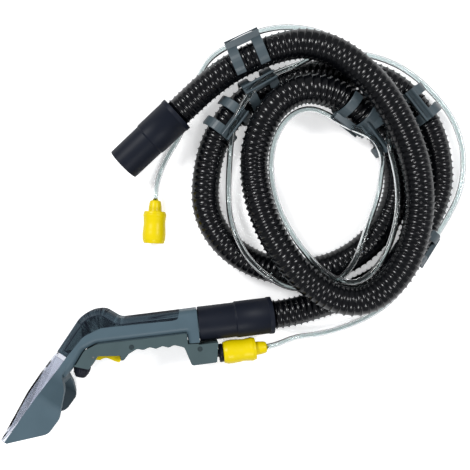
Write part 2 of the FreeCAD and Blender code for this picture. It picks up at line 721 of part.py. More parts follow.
def hose_piece():
    """Ribbed hose with its bore, plain at both ends where the cuffs' bushes hold it."""
    ribs = int(SIZES["hose_ribs"])
    pitch = (HOSE_LENGTH - 4.0) / ribs
    root = SIZES["hose_root"]
    bore = SIZES["hose_bore"]
    start, first_way = hose_at(0.0)
    end, last_way = hose_at(HOSE_LENGTH)
    places = [(start - first_way * SIZES["hose_stub"], first_way, root, True)]
    for rib in range(ribs):
        places.append(hose_at(2.0 + rib * pitch) + (root, True))
        places.append(hose_at(2.0 + (rib + 0.5) * pitch) + (SIZES["hose_crest"], False))
    places.append(hose_at(HOSE_LENGTH - 2.0) + (root, True))
    places.append((end + last_way * SIZES["hose_stub"], last_way, root, True))
    outside = [ring_at(point, way, radius) for point, way, radius, _ in places]
    inside = [ring_at(point, way, bore) for point, way, _, lined in places if lined]
    wall = feature_of("hose_wall", Part.makeLoft(outside, True, True))
    way_through = feature_of("hose_way", Part.makeLoft(inside, True, True))
    print("hose length", round(HOSE_LENGTH, 1), "ribs", ribs, "pitch", round(pitch, 2))
    return cut_of("suction_hose", wall, [way_through])


def least_gap():
    """Least clear distance between two turns of the hose."""
    line = HOSE_LINE[::2]
    apart = 4.5 * SIZES["hose_crest"]
    gaps = [((one - other).Length, s, t) for index, (one, s) in enumerate(line)
            for other, t in line[index + 1:] if t - s > apart]
    distance, s, t = min(gaps)
    return distance - 2 * SIZES["hose_crest"], s, t


# The liquid tube rides beside the hose: distance along the hose, degrees round it from the outward side
# over the top, and how far from the hose's middle line.
RIDE = SIZES["tube_ride"]
NEAR = 25.6
TUBE_START = [
    (199.0, 27.3, 9.0), (234.9, 30.0, 4.6), (272.1, 41.0, 4.6), (305.1, 56.2, 4.6), (335.0, 78.3, 5.0),
]
TUBE_RIDE = [
    (198, -30, 30), (222, -28, RIDE), (246, -26, RIDE), (275, -20, 31), (308, -15, 38), (345, -15, 44),
    (380, -15, 43), (412, -12, 36), (445, -5, 31), (475, 5, RIDE), (510, 8, 27), (545, 10, 26),
    (566, 28, 25),
    (580, 48, 24.6), (596, 66, 25), (618, 72, 27), (645, 75, RIDE), (675, 96, RIDE), (706, 112, RIDE),
    (735, 140, RIDE), (765, 170, RIDE), (800, 180, 31), (835, 175, 30), (866, 146, RIDE), (893, 122, RIDE),
    (921, 95, RIDE), (950, 70, RIDE), (978, 42, 27.5), (1000, 34, 26), (1018, 30, 25.8), (1034, 38, 25.8),
    (1052, 60, 26), (1070, 88, 27), (1090, 115, RIDE), (1115, 140, RIDE), (1145, 155, RIDE),
    (1175, 160, RIDE),
    (1204, 155, RIDE), (1232, 133, RIDE), (1262, 128, RIDE), (1290, 150, RIDE), (1312, 178, RIDE),
    (1345, 200, 27),
    (1380, 213, NEAR), (1418, 215, NEAR), (1455, 215, NEAR), (1490, 212, NEAR), (1525, 208, NEAR),
    (1560, 208, NEAR), (1595, 208, NEAR), (1630, 204, NEAR), (1665, 204, NEAR), (1700, 208, NEAR),
    (1735, 212, NEAR),
    (1770, 213, NEAR), (1805, 213, NEAR), (1840, 205, NEAR), (1875, 200, NEAR), (1912, 198, NEAR),
    (1945, 202, NEAR),
    (1975, 208, NEAR), (2000, 215, NEAR), (2018, 235, NEAR), (2035, 262, NEAR), (2052, 290, NEAR),
    (2072, 308, NEAR),
    (2100, 316, NEAR), (2130, 316, NEAR), (2158, 322, NEAR), (2185, 335, NEAR), (2212, 352, 26),
    (2235, 370, 27),
    (2258, 389, RIDE), (2282, 396, RIDE), (2308, 368, 27), (2330, 330, 26), (2350, 295, 26),
]
TUBE_END = [(49.5, 325.3, 7.5), (39.5, 300.3, 4.4), (23.5, 275.3, 4.4), (13.5, 252.3, 5.5),
    (9.2, 232.3, 12.0)]
CLIPS = [(222, -28.5), (418, 100), (645, 79.5), (706, 117), (1262, 127.5), (1312, 174.5), (2266, 391)]
MACHINE_COUPLER = Placement(Vector(6.1, 155.1, 15.9), Rotation(Vector(0, 0, 1), 87.5))


def beside_hose(distance, degrees, away):
    point, way, outward, up = hose_frame(distance)
    angle = math.radians(degrees)
    return point + outward * (away * math.cos(angle)) + up * (away * math.sin(angle))


def tube_route():
    neck = SIZES["coupler_neck_end"]
    tool_neck = TOOL * COUPLED
    points = [tool_neck.multVec(Vector(neck, 0, 0)), tool_neck.multVec(Vector(neck + 11.0, 0, -1.0))]
    points += [Vector(*point) for point in TUBE_START]
    points += [beside_hose(*place) for place in TUBE_RIDE]
    points += [Vector(*point) for point in TUBE_END]
    points += [MACHINE_COUPLER.multVec(Vector(neck + along, 0, 0)) for along in (10.0, 0.0)]
    return points


def clip_shape():
    """Hose clip: a bar with a snap channel for the tube and two open arms round the hose."""
    body = new_body("hose_clip")
    half_length = SIZES["clip_length"] / 2
    for name, start in (("arm_one", -half_length), ("arm_two", half_length - SIZES["clip_arm_width"])):
        sketch = new_sketch(body, name, offset=Placement(Vector(0, 0, start), Rotation()))
        ends = [math.radians(90 - 105), math.radians(90 + 105)]
        edges = []
        for radius in (SIZES["clip_arm_inside"], SIZES["clip_arm_outside"]):
            corners = [Vector(radius * math.cos(a), radius * math.sin(a), 0) for a in (ends[0],
                math.pi / 2, ends[1])]
            edges.append((Part.Arc(*corners), corners))
        inner, outer = edges
        sketch.addGeometry([inner[0], outer[0], Part.LineSegment(inner[1][0], outer[1][0]),
                            Part.LineSegment(inner[1][2], outer[1][2])], False)
        pad(body, sketch, "clip_arm_width")
        document.recompute()
    bar = new_sketch(body, "bar", offset=Placement(Vector(0, 0, -half_length), Rotation()))
    half = SIZES["clip_bar_width"] / 2
    top = SIZES["clip_bar_top"]
    draw_corners(bar, [(-half, SIZES["clip_arm_inside"] + 0.3, 0),
        (half, SIZES["clip_arm_inside"] + 0.3, 0), (half, top, 0), (-half, top, 0)])
    pad(body, bar, "clip_length")
    document.recompute()
    channel = new_sketch(body, "channel", offset=Placement(Vector(0, 0, -40), Rotation()))
    reach = SIZES["clip_channel"]
    ride = SIZES["tube_ride"]
    lip = 3.2
    low = Vector(0, ride - reach, 0)
    side = math.sqrt(reach ** 2 - lip ** 2)
    left, right = Vector(-lip, ride + side, 0), Vector(lip, ride + side, 0)
    channel.addGeometry([Part.Arc(left, low, right), Part.LineSegment(right, Vector(lip, 40, 0)),
                         Part.LineSegment(Vector(lip, 40, 0), Vector(-lip, 40, 0)),
                         Part.LineSegment(Vector(-lip, 40, 0), left)], False)
    pocket(body, channel, "80", reverse=True)
    return body


def clips_piece():
    pattern = clip_shape().Shape
    copies = []
    for distance, degrees in CLIPS:
        point, way, outward, up = hose_frame(distance)
        angle = math.radians(degrees)
        radial = outward * math.cos(angle) + up * math.sin(angle)
        copy = pattern.copy()
        copy.Placement = Placement(point, Rotation(radial.cross(way), radial, way, "ZYX"))
        copies.append(copy)
    return feature_of("hose_clips", Part.makeCompound(copies))


def main():
    blank = tool_blank()
    pad_piece = grip_pad_piece(blank)
    housing = tool_body_piece(blank, pad_piece)
    pin = cylinder_along("trigger_pin", "pin_radius", Vector(*TRIGGER_PIVOT, -17.5),
        Vector(*TRIGGER_PIVOT, 17.5))
    front_pipe = faceted_tube("front_pipe", [Vector(-220.4, -38, 0), Vector(-234.0, -40.4, 0),
        Vector(-243.0, -48.0, 0),
                                             nozzle_point(-9.4)], SIZES["pipe_radius"])
    rear_pipe = faceted_tube("rear_pipe", [Vector(-207.6, -37.5, 0), Vector(-160.0, -33.9, 0),
        Vector(-118.5, -31.0, 0), Vector(-108.0, -45.0, 0),
                                           on_spigot(99.0, COUPLER_BELOW),
                                           on_spigot(90.4, COUPLER_BELOW)], SIZES["pipe_radius"])
    nut = turned("spray_nut", [("0.4", "4.15"), ("0.4", "nut_radius"), ("9", "nut_radius"),
        ("9", "nut_radius-1.2"),
                               ("nut_length", "nut_radius-1.2"), ("nut_length", "4.15")])
    jet = turned("spray_jet", [("0-9", "1"), ("0-9", "4"), ("14.6", "4"), ("14.6", "1")])
    inlet = turned("inlet_nipple", [("0-16", "1.8"), ("0-16", "5"), ("0.1", "5"), ("0.1", "7.4"),
        ("3", "7.4"),
                                    ("3", "coupler_socket-0.05"), ("20.4", "coupler_socket-0.05"),
                                    ("20.4", "1.8")])
    for piece, place in ((nut, NOZZLE), (jet, NOZZLE), (inlet, INLET)):
        piece.Placement = place
    screws = []
    for name, (x, y) in COVER_SCREWS.items():
        screw = turned("screw_" + name, [("0", "0"), ("0", "1.5"), ("10.2", "1.5"), ("10.2", "2.9"),
            ("12", "2.9"), ("12", "0")])
        screw.Placement = Placement(Vector(x, y, 6.9), Rotation(Vector(0, 1, 0), -90))
        screws.append(screw)
    screw_group = document.addObject("Part::Compound", "cover_screws")
    screw_group.Label = "cover_screws"
    screw_group.Links = screws
    tool_pieces = [pad_piece, housing, lower_cover_piece(), trigger_piece(), pin, *valve_pieces(),
        front_pipe, rear_pipe, nut, jet,
                   inlet, screw_group]
    window = window_piece()
    document.recompute()
    window.Placement = TOOL * HEAD_FLAT
    for piece in tool_pieces:
        piece.Placement = TOOL * piece.Placement
    out_point, out_way = hose_at(HOSE_LENGTH)
    machine_end = Placement(out_point, Rotation(out_way, Vector(), Vector(0, 0, 1), "XZY"))
    pieces = tool_pieces + [window]
    pieces += coupler_pieces("tool_coupler", TOOL * COUPLED)
    pieces += coupler_pieces("machine_coupler", MACHINE_COUPLER)
    pieces += cuff_pieces("tool", SPIGOT)
    pieces += cuff_pieces("machine", machine_end)
    pieces += [hose_piece(), faceted_tube("liquid_tube", tube_route(), SIZES["tube_radius"]), clips_piece()]
    document.recompute()
    gap, one, other = least_gap()
    print("least gap between the hose's turns", round(gap, 2), "at", round(one), "and", round(other))
    for thing in document.Objects:
        if "Invalid" in thing.State or "Error" in thing.State:
            raise RuntimeError("%s did not rebuild: %s" % (thing.Name, thing.State))
    os.makedirs("parts", exist_ok=True)
    for piece in pieces:
        if piece.Shape.isNull() or not piece.Shape.isValid():
            raise RuntimeError(piece.Label + " has no valid shape")
    for piece in pieces:
        box = piece.Shape.BoundBox
        print("%-24s %8.0f mm3  %6.1f %6.1f  %6.1f %6.1f  %6.1f %6.1f  solids %d" % (
            piece.Label, piece.Shape.Volume, box.XMin, box.XMax, box.YMin, box.YMax, box.ZMin, box.ZMax,
            len(piece.Shape.Solids)))
        piece.Shape.exportStep("parts/%s.step" % piece.Label)


main()
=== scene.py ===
"""Looks of a spray-extraction hose set: hand tool, ribbed hose, liquid tube, cuffs and couplers."""

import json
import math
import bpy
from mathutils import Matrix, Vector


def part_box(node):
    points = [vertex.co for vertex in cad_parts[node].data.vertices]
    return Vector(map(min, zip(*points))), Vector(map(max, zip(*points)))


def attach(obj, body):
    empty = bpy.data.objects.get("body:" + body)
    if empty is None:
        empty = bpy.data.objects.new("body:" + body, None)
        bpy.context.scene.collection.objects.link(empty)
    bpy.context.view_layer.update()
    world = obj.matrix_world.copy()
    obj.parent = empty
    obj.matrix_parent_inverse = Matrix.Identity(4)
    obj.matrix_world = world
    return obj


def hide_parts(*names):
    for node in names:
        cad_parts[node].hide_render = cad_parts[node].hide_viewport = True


bl_info = {
    "name": "Spray Extraction Hose Set",
    "version": (1, 0, 0),
    "blender": (4, 5, 0),
    "location": "View3D > Sidebar > Hose Set",
    "description": "Builds the ribbed hose, liquid tube, clips, cuffs, couplers and hand tool finishes",
    "category": "Object",
}

import bmesh
import bpy
from mathutils import Matrix, Vector

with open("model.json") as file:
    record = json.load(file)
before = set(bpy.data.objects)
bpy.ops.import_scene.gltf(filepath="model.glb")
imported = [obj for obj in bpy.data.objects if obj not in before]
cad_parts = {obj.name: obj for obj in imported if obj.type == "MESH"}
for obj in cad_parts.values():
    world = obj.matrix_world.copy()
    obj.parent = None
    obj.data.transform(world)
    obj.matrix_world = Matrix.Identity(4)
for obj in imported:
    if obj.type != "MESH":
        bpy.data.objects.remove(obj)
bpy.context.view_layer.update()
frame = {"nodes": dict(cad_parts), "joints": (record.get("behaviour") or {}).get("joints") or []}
JOINTS = {joint["name"]: joint for joint in frame["joints"]}

# Camera: straight above the set, its height and lens worked out from the photograph's perspective.
CAMERA_PLACE = (0.1165, 0.1663, 0.780)
CAMERA_LENS_MM = 43.14
SENSOR_MM = 36.0

LEAD_IN = [
    (0.1661, 0.0593, 0.0254), (0.1908, 0.062, 0.0229), (0.2185, 0.0693, 0.0204), (0.2485, 0.079, 0.02),
    (0.2825, 0.0913, 0.0205), (0.3185, 0.1113, 0.0225), (0.3455, 0.1383, 0.0255), (0.3665, 0.1718, 0.0255),
    (0.385, 0.2108, 0.023),
]
LOOP_SIDES = [
    ("right", 0.393, 0.2488, 0.02, 0.02, 1),
    ("top", 0.265, 0.3883, 0.02, 0.02, 0.88),
    ("left", 0.0735, 0.2228, 0.02, 0.02, 0.97),
    ("bottom", 0.204, 0.1143, 0.02, 0.024, 1.06),
    ("right", 0.339, 0.2403, 0.02, 0.022, 1.08),
    ("top", 0.218, 0.3568, 0.057, 0.054, 0.97),
    ("left", 0.14, 0.2563, 0.025, 0.061, 1.12),
    ("bottom", 0.2655, 0.0788, 0.064, 0.0675, 1.04),
    ("right", 0.3545, 0.2188, 0.06, 0.0725, 1.22),
    ("top", 0.2115, 0.4118, 0.063, 0.06, 1),
]
LEAD_OUT = [
    (0.175, 0.4088, 0.054), (0.1415, 0.3983, 0.0485), (0.1085, 0.3828, 0.044), (0.078, 0.3608, 0.04),
    (0.059, 0.3438, 0.0375), (0.0405, 0.3268, 0.036),
]
TUBE_START = [
    (0.199, 0.0273, 0.009), (0.2349, 0.03, 0.0046), (0.2721, 0.041, 0.0046), (0.3051, 0.0562, 0.0046),
    (0.335, 0.0783, 0.005),
]
RIDE = 0.0282
NEAR = 0.0256
TUBE_RIDE = [
    (0.198, -30, 0.03), (0.222, -28, RIDE), (0.246, -26, RIDE), (0.275, -20, 0.031), (0.308, -15, 0.038),
    (0.345, -15, 0.044), (0.38, -15, 0.043), (0.412, -12, 0.036), (0.445, -5, 0.031), (0.475, 5, RIDE),
    (0.51, 8, 0.027), (0.545, 10, 0.026), (0.566, 28, 0.025), (0.58, 48, 0.0246), (0.596, 66, 0.025),
    (0.618, 72, 0.027), (0.645, 75, RIDE), (0.675, 96, RIDE), (0.706, 112, RIDE), (0.735, 140, RIDE),
    (0.765, 170, RIDE), (0.8, 180, 0.031), (0.835, 175, 0.03), (0.866, 146, RIDE), (0.893, 122, RIDE),
    (0.921, 95, RIDE), (0.95, 70, RIDE), (0.978, 42, 0.0275), (1, 34, 0.026), (1.018, 30, 0.0258),
    (1.034, 38, 0.0258), (1.052, 60, 0.026), (1.07, 88, 0.027), (1.09, 115, RIDE), (1.115, 140, RIDE),
    (1.145, 155, RIDE), (1.175, 160, RIDE), (1.204, 155, RIDE), (1.232, 133, RIDE), (1.262, 128, RIDE),
    (1.29, 150, RIDE), (1.312, 178, RIDE), (1.345, 200, 0.027), (1.38, 213, NEAR), (1.418, 215, NEAR),
    (1.455, 215, NEAR), (1.49, 212, NEAR), (1.525, 208, NEAR), (1.56, 208, NEAR), (1.595, 208, NEAR),
    (1.63, 204, NEAR), (1.665, 204, NEAR), (1.7, 208, NEAR), (1.735, 212, NEAR), (1.77, 213, NEAR),
    (1.805, 213, NEAR), (1.84, 205, NEAR), (1.875, 200, NEAR), (1.912, 198, NEAR), (1.945, 202, NEAR),
    (1.975, 208, NEAR), (2, 215, NEAR), (2.018, 235, NEAR), (2.035, 262, NEAR), (2.052, 290, NEAR),
    (2.072, 308, NEAR), (2.1, 316, NEAR), (2.13, 316, NEAR), (2.158, 322, NEAR), (2.185, 335, NEAR),
    (2.212, 352, 0.026), (2.235, 370, 0.027), (2.258, 389, RIDE), (2.282, 396, RIDE), (2.308, 368, 0.027),
    (2.33, 330, 0.026), (2.35, 295, 0.026),
]
TUBE_END = [
    (0.0495, 0.3253, 0.0075), (0.0395, 0.3003, 0.0044), (0.0235, 0.2753, 0.0044), (0.0135, 0.2523, 0.0055),
    (0.0092, 0.2323, 0.012),
]
CLIPS = [(0.222, -28.5), (0.418, 100), (0.645, 79.5), (0.706, 117), (1.262, 127.5), (1.312, 174.5),
    (2.266, 391)]
QUARTER_STEPS = 4
COUPLER_NECK_END = 0.058
TUBE_OUTSIDE = 0.00395
TUBE_BORE = 0.0027
HOSE_SIDES = 40
TUBE_SIDES = 20
TUBE_STEP = 0.005
BORE_STEP = 0.012


# Places of the turned pieces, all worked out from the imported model's joints.
def placed_on(joint, origin=None, upright=Vector((0, 0, 1))):
    """Matrix whose X axis is the joint's axis and whose origin is a point on it."""
    way = Vector(JOINTS[joint]["axis"]).normalized()
    point = Vector(origin if origin is not None else JOINTS[joint]["pos_m"])
    side = upright.cross(way).normalized()
    matrix = Matrix((way, side, way.cross(side))).transposed().to_4x4()
    matrix.translation = point
    return matrix


def end_of(node, way):
    """Point of a CAD node that lies furthest against a direction."""
    points = [vertex.co for vertex in frame["nodes"][node].data.vertices]
    return min(point.dot(way) for point in points)


def sleeve_place(joint, node):
    """Matrix at the front end of a coupler's sleeve, X along its axis."""
    way = Vector(JOINTS[joint]["axis"]).normalized()
    low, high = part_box(node)
    middle = (low + high) / 2
    start = middle + way * (end_of(node, way) - middle.dot(way))
    return placed_on(joint, start)


def cuff_place(joint, node):
    """Matrix at the hose end of a cuff, X along its axis."""
    way = Vector(JOINTS[joint]["axis"]).normalized()
    middle = Vector(JOINTS[joint]["pos_m"])
    return placed_on(joint, middle + way * (end_of(node, way) - middle.dot(way)))


TOOL_CUFF = cuff_place("tool_cuff_turn", "tool_cuff")
MACHINE_CUFF = cuff_place("machine_cuff_turn", "machine_cuff")
TOOL_COUPLER = sleeve_place("tool_sleeve_pull", "tool_coupler_sleeve")
MACHINE_COUPLER = sleeve_place("machine_sleeve_pull", "machine_coupler_sleeve")
NOZZLE = placed_on("nut_turn")


# Route of the hose, the same points as its solid.
def quarter_turn(one, other):
    """Route points of a quarter turn, from one outermost point up to but not including the next."""
    side, x, y, height, halfway, fullness = one
    next_x, next_y, next_height = other[1:4]
    points = []
    for step in range(QUARTER_STEPS):
        part = step / QUARTER_STEPS
        near = math.cos(part * math.pi / 2) ** fullness
        far = math.sin(part * math.pi / 2) ** fullness
        if side in ("right", "left"):
            plan = (next_x + (x - next_x) * near, y + (next_y - y) * far)
        else:
            plan = (x + (next_x - x) * far, next_y + (y - next_y) * near)
        if part < 0.5:
            lift = height + (halfway - height) * 2 * part
        else:
            lift = halfway + (next_height - halfway) * (2 * part - 1)
        points.append(Vector((plan[0], plan[1], lift)))
    return points


def hose_route():
    points = [Vector(point) for point in LEAD_IN]
    for one, other in zip(LOOP_SIDES, LOOP_SIDES[1:]):
        points += quarter_turn(one, other)
    points.append(Vector(LOOP_SIDES[-1][1:4]))
    return points + [Vector(point) for point in LEAD_OUT]


def smooth_line(name, points):
    """Points of the smooth NURBS line that the route's points control."""
    curve = bpy.data.curves.new(name, "CURVE")
    curve.dimensions = "3D"
    curve.resolution_u = 10
    spline = curve.splines.new("NURBS")
    spline.points.add(len(points) - 1)
    for place, point in zip(spline.points, points):
        place.co = (*point, 1.0)
    spline.order_u = 3
    spline.use_endpoint_u = True
    carrier = bpy.data.objects.new(name, curve)
    bpy.context.scene.collection.objects.link(carrier)
    bpy.context.view_layer.update()
    line_mesh = bpy.data.meshes.new_from_object(carrier.evaluated_get(bpy.context.evaluated_depsgraph_get()))
    line = [vertex.co.copy() for vertex in line_mesh.vertices]
    bpy.data.objects.remove(carrier)
    bpy.data.curves.remove(curve)
    bpy.data.meshes.remove(line_mesh)
    return line


class Line:
    """A smooth line with its length so far at every point."""

    def __init__(self, points):
        self.points = points
        self.lengths = [0.0]
        for one, other in zip(points, points[1:]):
            self.lengths.append(self.lengths[-1] + (other - one).length)
        self.length = self.lengths[-1]
        self.last = 0

    def at(self, distance):
        """Point and way at a distance along the line."""
        distance = min(max(distance, 0.0), self.length)
        index = self.last if self.lengths[self.last] <= distance else 0
        while index < len(self.points) - 2 and self.lengths[index + 1] < distance:
            index += 1
        self.last = index
        one, other = self.points[index], self.points[index + 1]
        share = (distance - self.lengths[index]) / (self.lengths[index + 1] - self.lengths[index])
        way = (other - one).normalized()
        before = (one - self.points[index - 1]).normalized() if index else way
        after = (self.points[index + 2] - other).normalized() if index + 2 < len(self.points) else way
        start_way = (before + way).normalized()
        end_way = (way + after).normalized()
        return one.lerp(other, share), start_way.lerp(end_way, share).normalized()

    def frame(self, distance):
        """Point, way, outward side of the loops and up, at a distance along the line."""
        point, way = self.at(distance)
        outward = way.cross(Vector((0, 0, 1))).normalized()
        return point, way, outward, outward.cross(way).normalized()


HOSE = Line(smooth_line("hose_line", hose_route()))


def beside_hose(distance, degrees, away):
    point, way, outward, up = HOSE.frame(distance)
    angle = math.radians(degrees)
    return point + outward * (away * math.cos(angle)) + up * (away * math.sin(angle))


def tube_route():
    points = [TOOL_COUPLER @ Vector((COUPLER_NECK_END, 0, 0))]
    points.append(points[0] + TOOL_COUPLER.to_3x3() @ Vector((0.011, 0, 0)) + Vector((0, 0, -0.001)))
    points += [Vector(point) for point in TUBE_START]
    points += [beside_hose(*place) for place in TUBE_RIDE]
    points += [Vector(point) for point in TUBE_END]
    points += [MACHINE_COUPLER @ Vector((COUPLER_NECK_END + along, 0, 0)) for along in (0.010, 0.0)]
    return points


TUBE = Line(smooth_line("tube_line", tube_route()))


# Mesh building
def object_of(name, mesh, material, body, smooth=True):
    """Links a mesh as a piece that rides on a body."""
    piece = bpy.data.objects.new(name, mesh)
    bpy.context.scene.collection.objects.link(piece)
    mesh.materials.append(material)
    for polygon in mesh.polygons:
        polygon.use_smooth = smooth
    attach(piece, body)
    return piece


def mesh_of_rings(name, rings, closed_ends=False, looped=False):
    """Mesh through rings that all have the same number of points."""
    count = len(rings[0])
    vertices = [point for ring in rings for point in ring]
    faces = []
    pairs = list(zip(range(len(rings) - 1), range(1, len(rings))))
    if looped:
        pairs.append((len(rings) - 1, 0))
    for one, other in pairs:
        for side in range(count):
            ahead = (side + 1) % count
            faces.append((one * count + side, one * count + ahead, other * count + ahead,
                other * count + side))
    if closed_ends:
        faces.append(tuple(reversed(range(count))))
        faces.append(tuple(range((len(rings) - 1) * count, len(rings) * count)))
    mesh = bpy.data.meshes.new(name)
    mesh.from_pydata([tuple(vertex) for vertex in vertices], [], faces)
    mesh.validate()
    return mesh


def ring_round(point, outward, up, radius, sides, phase=0.0):
    turns = [2 * math.pi * side / sides + phase for side in range(sides)]
    return [point + outward * (radius * math.cos(turn)) + up * (radius * math.sin(turn)) for turn in turns]


def tube_rings(line, radii, sides):
    """Rings along a line; radii is a list of (distance, radius)."""
    rings = []
    for distance, radius in radii:
        point, way, outward, up = line.frame(distance)
        rings.append(ring_round(point, outward, up, radius, sides))
    return rings


def lathe(name, profile, matrix, sides=96, ripple=None):
    """Closed turned mesh about the matrix's X axis from a closed list of (distance along, radius)."""
    rings = []
    for along, radius in profile:
        ring = []
        for side in range(sides):
            turn = 2 * math.pi * side / sides
            wave = radius if ripple is None else radius + ripple(along, radius, turn)
            ring.append(matrix @ Vector((along, wave * math.cos(turn), wave * math.sin(turn))))
        rings.append(ring)
    mesh = mesh_of_rings(name, rings, looped=True)
    bm = bmesh.new()
    bm.from_mesh(mesh)
    bmesh.ops.recalc_face_normals(bm, faces=bm.faces)
    bm.to_mesh(mesh)
    bm.free()
    return mesh


def rounded_profile(corners, steps=4):
    """Closed profile with its corners rounded; corners are (distance along, radius, rounding)."""
    points = []
    count = len(corners)
    for index, (x, r, rounding) in enumerate(corners):
        here = Vector((x, r))
        back = (Vector(corners[index - 1][:2]) - here).normalized()
        ahead = (Vector(corners[(index + 1) % count][:2]) - here).normalized()
        if rounding <= 0:
            points.append((x, r))
            continue
        half = back.angle(ahead) / 2
        reach = rounding / math.tan(half)
        centre = here + (back + ahead).normalized() * (rounding / math.sin(half))
        start = here + back * reach - centre
        end = here + ahead * reach - centre
        for step in range(steps + 1):
            blend = start.lerp(end, step / steps).normalized() * rounding
            points.append(tuple(centre + blend))
    return points


# Materials
def shade(colour):
    """Linear colour of an sRGB one written 0 to 255."""
    def linear(value):
        value /= 255
        return value / 12.92 if value <= 0.04045 else ((value + 0.055) / 1.055) ** 2.4
    return tuple(linear(value) for value in colour) + (1.0,)


def moulded(name, colour, roughness=0.45, grain=1800.0, depth=0.02, spread=0.12, uneven=0.08, specular=0.5,
            flat=False, low_shade=None):
    """Moulded plastic or rubber: fine grain, faint flow clouds in the colour and an uneven gloss; low_shade
    adds painted shade that darkens the colour low down.
    """
    material = bpy.data.materials.new(name)
    material.use_nodes = True
    nodes = material.node_tree.nodes
    links = material.node_tree.links
    shader = nodes["Principled BSDF"]
    shader.inputs["Specular IOR Level"].default_value = specular
    place = nodes.new("ShaderNodeTexCoord")
    clouds = nodes.new("ShaderNodeTexNoise")
    clouds.inputs["Scale"].default_value = 38.0
    clouds.inputs["Detail"].default_value = 4.0
    links.new(place.outputs["Object"], clouds.inputs["Vector"])
    dark = tuple(channel * (1 - spread) for channel in shade(colour)[:3]) + (1.0,)
    light = tuple(min(1.0, channel * (1 + spread)) for channel in shade(colour)[:3]) + (1.0,)
    tint = nodes.new("ShaderNodeMix")
    tint.data_type = "RGBA"
    tint.inputs["A"].default_value = dark
    tint.inputs["B"].default_value = light
    links.new(clouds.outputs["Fac"], tint.inputs["Factor"])
    colour_out = tint.outputs["Result"]
    if low_shade:
        # painted shade: the colour is darkened where the surface lies low, so the far cheek beside the head
        # looks shaded
        split = nodes.new("ShaderNodeSeparateXYZ")
        links.new(place.outputs["Object"], split.inputs["Vector"])
        rise = nodes.new("ShaderNodeMapRange")
        rise.inputs["From Min"].default_value = low_shade[0]
        rise.inputs["From Max"].default_value = low_shade[1]
        rise.inputs["To Min"].default_value = low_shade[2]
        links.new(split.outputs["Z"], rise.inputs["Value"])
        shade_darken = nodes.new("ShaderNodeVectorMath")
        shade_darken.operation = "SCALE"
        links.new(colour_out, shade_darken.inputs["Vector"])
        links.new(rise.outputs["Result"], shade_darken.inputs["Scale"])
        colour_out = shade_darken.outputs["Vector"]
    links.new(colour_out, shader.inputs["Base Color"])
    fine = nodes.new("ShaderNodeTexNoise")
    fine.inputs["Scale"].default_value = grain
    fine.inputs["Detail"].default_value = 3.0
    links.new(place.outputs["Object"], fine.inputs["Vector"])
    gloss = nodes.new("ShaderNodeMapRange")
    gloss.inputs["To Min"].default_value = roughness - uneven
    gloss.inputs["To Max"].default_value = roughness + uneven
    links.new(clouds.outputs["Fac"], gloss.inputs["Value"])
    links.new(gloss.outputs["Result"], shader.inputs["Roughness"])
    bump = nodes.new("ShaderNodeBump")
    bump.inputs["Strength"].default_value = depth * 10
    bump.inputs["Distance"].default_value = 0.0001
    links.new(fine.outputs["Fac"], bump.inputs["Height"])
    if flat:
        faces = nodes.new("ShaderNodeNewGeometry")
        links.new(faces.outputs["True Normal"], bump.inputs["Normal"])
    links.new(bump.outputs["Normal"], shader.inputs["Normal"])
    return material


def clear(name, colour, roughness, ior):
    """Clear plastic with faint haze and flow marks."""
    material = moulded(name, colour, roughness=roughness, grain=900.0, depth=0.004, spread=0.03,
        uneven=roughness * 0.4)
    shader = material.node_tree.nodes["Principled BSDF"]
    shader.inputs["Transmission Weight"].default_value = 1.0
    shader.inputs["IOR"].default_value = ior
    return material


def metal(name, colour, roughness):
    """Turned or drawn metal with fine lathe marks."""
    material = moulded(name, colour, roughness=roughness, grain=2600.0, depth=0.01, spread=0.05, uneven=0.06)
    material.node_tree.nodes["Principled BSDF"].inputs["Metallic"].default_value = 1.0
    return material


COLOURS = {
    "housing": (71, 90, 100), "cover": (66, 82, 85), "grip": (20, 24, 34), "hose": (5, 6, 9),
    "cuff": (22, 26, 36), "coupler": (222, 199, 0), "clip": (66, 78, 84), "tube": (216, 224, 224),
    "window": (214, 217, 226), "brass": (196, 160, 92), "steel": (176, 178, 178), "black": (22, 25, 34),
    "screw": (72, 84, 88),
}
NODE_FINISH = {
    "tool_body": "housing", "lower_cover": "cover", "grip_pad": "grip", "suction_window": "window",
    "trigger_pin": "steel", "valve_body": "black", "valve_spring": "steel", "front_pipe": "black",
    "rear_pipe": "black", "inlet_nipple": "black", "spray_jet": "brass", "cover_screws": "screw",
    "tool_coupler_seal": "black", "machine_coupler_seal": "black", "tool_coupler_spring": "steel",
    "machine_coupler_spring": "steel", "tool_bush": "black", "machine_bush": "black", "trigger": "coupler",
    "valve_stem": "brass",
}
FINISH = {}


def make_finishes():
    for name, values in {
        "housing": dict(roughness=0.45, grain=2200.0, depth=0.03, specular=0.3,
                        # painted shade: the housing's colour darkens towards the floor, so the far cheek
                        # looks shaded
                        low_shade=(0.004, 0.03, 0.45)),
        "cover": dict(roughness=0.5, grain=2200.0, depth=0.03, specular=0.25),
        "grip": dict(roughness=0.62, grain=1500.0, depth=0.03, specular=0.05, flat=True),
        "hose": dict(roughness=0.2, grain=900.0, depth=0.02, spread=0.2, uneven=0.05, specular=0.34),
        "cuff": dict(roughness=0.45, grain=1700.0, depth=0.04, specular=0.12),
        "coupler": dict(roughness=0.34, grain=1900.0, depth=0.02, spread=0.04, specular=0.2),
        "clip": dict(roughness=0.35, grain=1700.0, depth=0.03, specular=0.4),
        "black": dict(roughness=0.4, grain=1900.0, depth=0.03, specular=0.15),
    }.items():
        FINISH[name] = moulded("finish_" + name, COLOURS[name], **values)
    FINISH["window"] = clear("finish_window", COLOURS["window"], 0.04, 1.22)
    FINISH["tube"] = clear("finish_tube", COLOURS["tube"], 0.12, 1.42)
    FINISH["brass"] = metal("finish_brass", COLOURS["brass"], 0.3)
    FINISH["steel"] = metal("finish_steel", COLOURS["steel"], 0.28)
    FINISH["screw"] = metal("finish_screw", COLOURS["screw"], 0.4)


